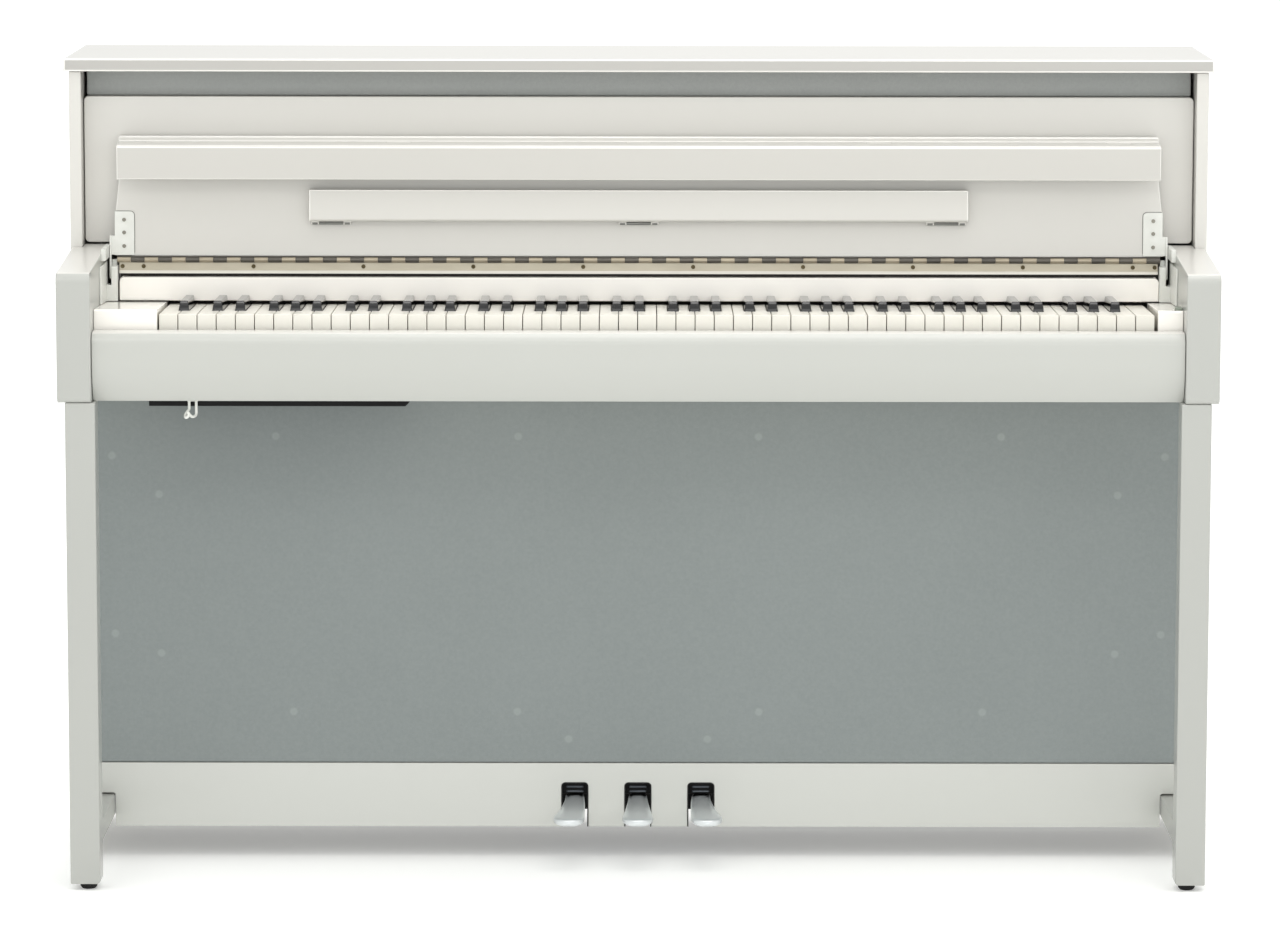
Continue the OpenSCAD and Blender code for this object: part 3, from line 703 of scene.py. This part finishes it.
# screws of the hinge strip: ten at one pitch and one more near each end, in
# millimetres from the middle
STRIP_SCREWS = [-620.6 + 137.8 * k for k in range(10)] + [-647, 647]
STRIP_SCREW_Z = 0.7556
STRIP_HEAD = (0.0026, 0.0008)          # radius and height of a head
lo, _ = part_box("strip_screws")
heads = [screw_head((x / 1000, lo.y + 0.0007, STRIP_SCREW_Z), (0, -1, 0),
                    *STRIP_HEAD, i * 0.7) for i, x in enumerate(STRIP_SCREWS)]
piece("strip_screw_heads", *join_parts(heads), "screw_gold", "case",
      "bright_screws", angle=35)


# ---- open cover: dark lines round its end plates, painted shade where they meet the board ---
# In millimetres, as the pieces stand on an upright cover whose hinge is at 0
PLATE_X, PLATE_TOP, PLATE_LOW = 637, 55.5, 10.5    # centres of its corners
PLATE_OUTER, PLATE_RADIUS = 655.4, 5
SHADE_LINE_WIDTH = 0.75
SHADE_LINE_DEPTHS = (2.05, 2.3)              # just before and just inside the board
# Where that hinge is, and how far the open cover leans back about it
HINGE_DEPTH, HINGE_HEIGHT = 198, 764
lean = Matrix.Rotation(math.radians(-2.5), 3, "X")


def leaned(x, y, z):
    """A point of the open cover's own frame, in metres in the row frame."""
    v = lean @ Vector((x, y, z))
    return row([(v.x, v.y + HINGE_DEPTH, v.z + HINGE_HEIGHT)])[0]


def plate_outline(grow):
    """Outline of a plate in the cover's own frame, rounded at its inner end."""
    pts, r = [], PLATE_RADIUS + grow
    for cz, a0 in ((PLATE_TOP, 90), (PLATE_LOW, 180)):
        for k in range(9):
            a = math.radians(a0 + k * 90 / 8)
            pts.append((PLATE_X + r * math.cos(a), cz + r * math.sin(a)))
    return [(PLATE_OUTER, PLATE_TOP + r)] + pts + [(PLATE_OUTER, PLATE_LOW - r)]


for side, hand in SIDES:
    lines = [plate_outline(0.0), plate_outline(SHADE_LINE_WIDTH)]
    verts = [leaned(side * x, y, z) for y in SHADE_LINE_DEPTHS
             for line in lines for x, z in line]
    piece("plate_shade_line_" + hand, verts, band(len(lines[0])), "seat", "cover",
          "grey_plastic", smooth=False)

# white covers that close the gaps beside and behind the bracket slots
COVER_BOXES = (((663.3, 150, 767.0), (668.9, 214, 782.2)),
               ((654.2, 203, 755.0), (660.2, 205, 764.2)))
for side, hand in SIDES:
    corners = []
    for (xa, ya, za), (xb, yb, zb) in COVER_BOXES:
        x0, x1 = sorted((side * xa, side * xb))
        corners.append(row([(x0, ya, za), (x1, yb, zb)]))
    piece("bracket_cover_" + hand, *boxes(corners), "white_metal", "case",
          "white_plastic", bevel=0.4)


# ---- headphone hanger ----------------------------------------------------------
def tube(path, r, seg=14):
    """A round wire along smoothed points, as rings."""
    pts = [Vector(p) for p in path]
    fine = []
    for i in range(len(pts) - 1):
        p0 = pts[max(i - 1, 0)]
        p1, p2 = pts[i], pts[i + 1]
        p3 = pts[min(i + 2, len(pts) - 1)]
        for k in range(6):
            t = k / 6
            fine.append(0.5 * ((2 * p1) + (-p0 + p2) * t
                               + (2 * p0 - 5 * p1 + 4 * p2 - p3) * t * t
                               + (-p0 + 3 * p1 - 3 * p2 + p3) * t ** 3))
    fine.append(pts[-1])
    rings = []
    d0 = (fine[1] - fine[0]).normalized()
    up = d0.orthogonal().normalized()
    for i, p in enumerate(fine):
        d = (fine[min(i + 1, len(fine) - 1)] - fine[max(i - 1, 0)]).normalized()
        up = (up - d * up.dot(d)).normalized()
        side = d.cross(up)
        rings.append([tuple(p + (up * math.cos(2 * math.pi * k / seg)
                                 + side * math.sin(2 * math.pi * k / seg)) * r)
                      for k in range(seg)])
    return loft(rings)


HANGER_X = -550
HANGER_WIRE = [(-1.2, 32.8, 607), (-1.2, 32.8, 598.5), (-2.0, 31, 595.6),
               (-4.4, 27, 592.8), (-5.4, 22, 589.8), (-4.0, 17, 588.3),
               (-1.2, 15.6, 590.0), (-0.4, 16, 593.2), (-1.6, 17.6, 594.8),
               (0.8, 20, 591.0), (3.4, 24, 588.4), (6.4, 30, 588.9),
               (7.4, 32.6, 592), (7.4, 32.8, 599), (7.4, 32.8, 607)]
HANGER_PLATE = [(-3.4, 30.0, 606.6), (9.6, 35.8, 607.8)]


def at_hanger(points):
    """Points counted from the middle of the hanger, in the row frame."""
    return row([(HANGER_X + x, y, z) for x, y, z in points])


hanger = [tube(at_hanger(HANGER_WIRE), 0.0017), boxes([at_hanger(HANGER_PLATE)])]
piece("hanger_wire", *join_parts(hanger), "white_metal", "case", "white_metal",
      ["headphone_hanger"], angle=50)


# ---- floor, light and camera ---------------------------------------------------
def area(name, loc, target, size, power, color=(1, 1, 1), spread=180):
    """A soft box of the given width and height, turned towards a target."""
    d = bpy.data.lights.new(name, "AREA")
    d.spread = math.radians(spread)
    d.shape = "RECTANGLE"
    d.size, d.size_y = size
    d.energy = power
    d.color = color
    o = bpy.data.objects.new(name, d)
    o.location = loc
    o.rotation_euler = (Vector(target) - Vector(loc)).to_track_quat(
        "-Z", "Y").to_euler()
    bpy.context.scene.collection.objects.link(o)


FLOOR = 260.0                          # half its side, in metres
pale = Mat("pale_floor", rough=0.85, spec=0.1)
pale.color(pale.mix(pale.ramp(pale.noise(0.7, 3), 0, 1), rgb(246, 246, 245),
                    rgb(243, 243, 242)))
pale.p.inputs["Emission Color"].default_value = (1, 1, 0.99, 1)
pale.p.inputs["Emission Strength"].default_value = 0.2
me = bpy.data.meshes.new("floor")
me.from_pydata([(-FLOOR, -FLOOR, 0), (FLOOR, -FLOOR, 0), (FLOOR, FLOOR, 0),
                (-FLOOR, FLOOR, 0)], [], [(0, 1, 2, 3)])
me.materials.append(pale.m)
floor = bpy.data.objects.new("floor", me)
bpy.context.scene.collection.objects.link(floor)

world = bpy.data.worlds.new("studio")
bpy.context.scene.world = world
world.use_nodes = True
sky = world.node_tree
bg = sky.nodes["Background"]
bg.inputs["Color"].default_value = (0.985, 1.0, 0.99, 1)
up = sky.nodes.new("ShaderNodeSeparateXYZ")
sky.links.new(sky.nodes.new("ShaderNodeTexCoord").outputs["Generated"],
              up.inputs[0])
fade = sky.nodes.new("ShaderNodeMapRange")     # dimmer towards the horizon
for k, v in (("From Min", 0), ("From Max", 1), ("To Min", 0.76), ("To Max", 1.3)):
    fade.inputs[k].default_value = v
sky.links.new(up.outputs["Z"], fade.inputs["Value"])
sky.links.new(fade.outputs["Result"], bg.inputs["Strength"])

area("key_soft", (-1.6, -3.2, 3.6), (0, 0, 0.7), (3.6, 2.4), 8, (1, 0.99, 0.97))
area("front_soft", (0.6, -8.6, 1.9), (0, 0, 0.6), (4.2, 2.6), 56)
area("top_soft", (0.3, 0.1, 3.4), (0, 0.1, 0.9), (3.8, 1.8), 52, (1, 0.97, 0.96))
area("right_fill", (3.0, -4.4, 1.9), (0.2, 0, 0.8), (1.6, 2.0), 7)
area("keyboard_soft", (0, -1.15, 1.45), (0, -0.05, 0.76), (1.7, 0.2), 0.24,
     (1, 0.97, 0.95), 40)

FOCAL, FRAME_WIDTH = 5410.2, 1280      # both in pixels of the picture
PITCH, ROLL = 7.4644, 0.084            # degrees; looking down
cam = bpy.data.cameras.new("camera")
cam.sensor_width = 36
cam.lens = FOCAL / FRAME_WIDTH * cam.sensor_width
cam.shift_y = -0.05
cam.clip_start, cam.clip_end = 0.05, 600
eye = bpy.data.objects.new("camera", cam)
eye.location = (0.0020, -6.7828, 1.4633)
eye.rotation_euler = (math.radians(90 - PITCH), 0, 0)
eye.rotation_euler.rotate_axis("Z", math.radians(ROLL))
bpy.context.scene.collection.objects.link(eye)
bpy.context.scene.camera = eye
bpy.context.scene.view_settings.view_transform = "Standard"
bpy.context.scene.view_settings.look = "None"

bpy.context.view_layer.update()
